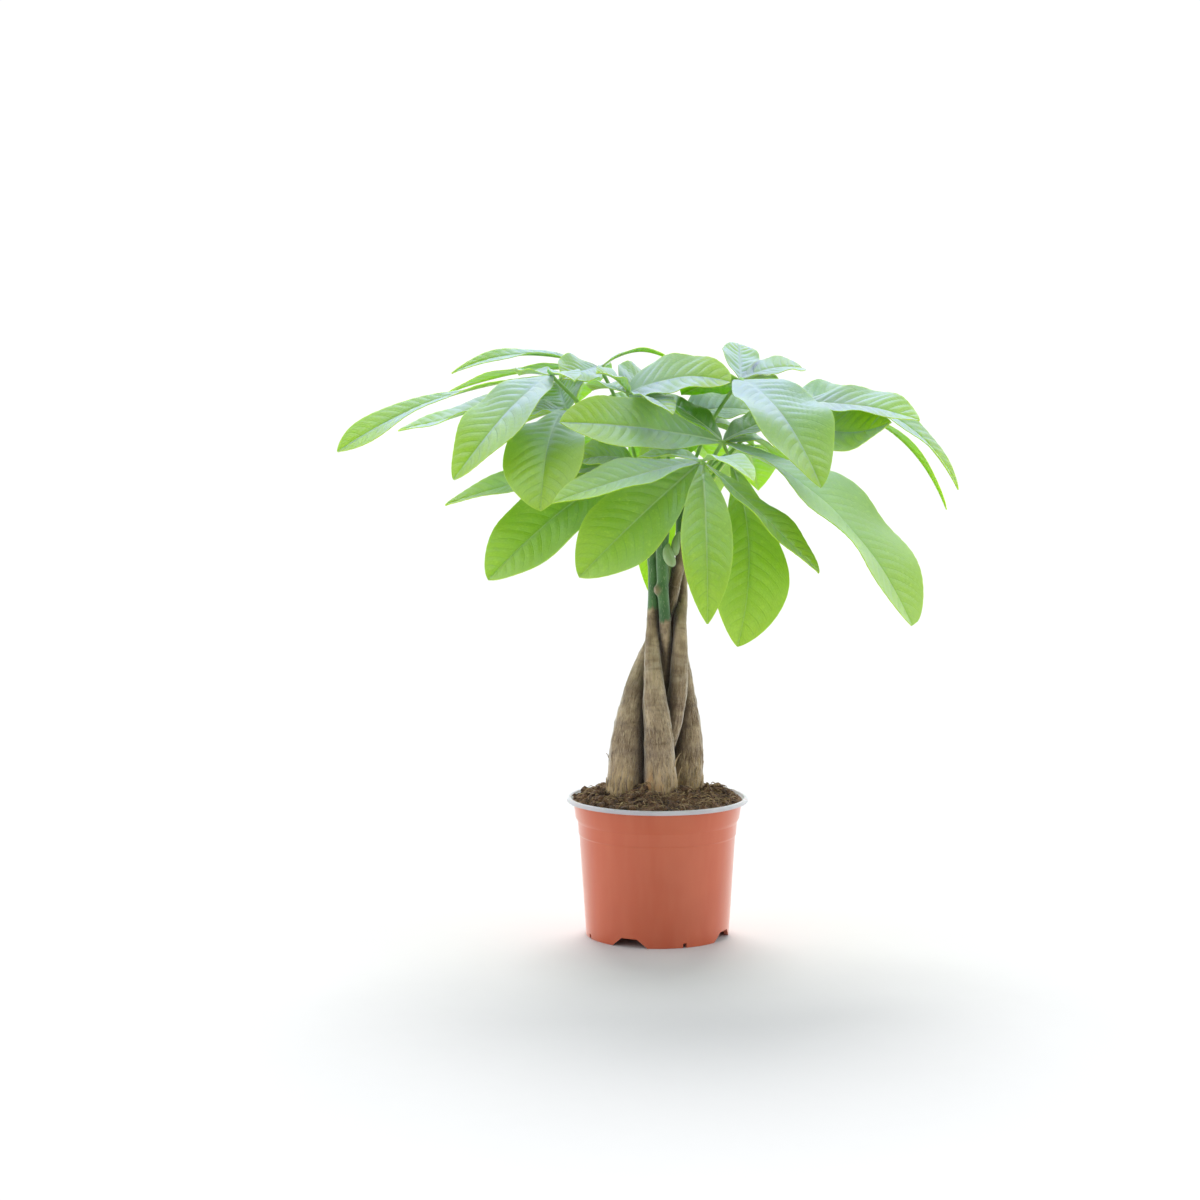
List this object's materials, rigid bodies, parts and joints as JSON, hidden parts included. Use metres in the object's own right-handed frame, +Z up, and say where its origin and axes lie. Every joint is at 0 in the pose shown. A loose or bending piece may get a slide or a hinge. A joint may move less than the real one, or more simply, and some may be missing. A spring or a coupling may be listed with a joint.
{
  "type": "potted money tree",
  "caption": "Braided money tree with a crown of palmate leaves on long stalks, growing in a round tapered plastic nursery pot with a rolled lip and drain notches.",
  "frame": {"origin": "centre of the pot's foot, on the surface that the pot stands on", "axes": "+Z up the plant, -Y towards the front of the crown, +X to the right seen from the front"},
  "size_m": [0.4088, 0.2768, 0.3914],
  "materials": {
    "pot_plastic": "thin moulded plastic, satin, terracotta colour, with a pale grey lip",
    "soil": "damp fibrous peat compost, matte and crumbly",
    "bark": "dry greyish tan bark with fine lengthwise streaks, green towards the tops",
    "leaf": "soft satin green leaf with raised veins"
  },
  "bodies": {
    "root": {"pot": "pot_plastic", "soil": "soil", "stem_left": "bark", "stem_front": "bark", "stem_right": "bark", "stem_crossing": "bark", "stem_back": "bark", "leaf_front": "leaf", "leaf_right_front": "leaf", "leaf_top": "leaf", "leaf_centre": "leaf", "leaf_inner": "leaf", "leaf_left": "leaf", "leaf_left_low": "leaf", "leaf_left_front": "leaf", "leaf_right": "leaf", "leaf_back_top": "leaf", "leaf_back": "leaf", "leaf_back_right": "leaf", "leaf_back_left": "leaf"}
  },
  "joints": []
}
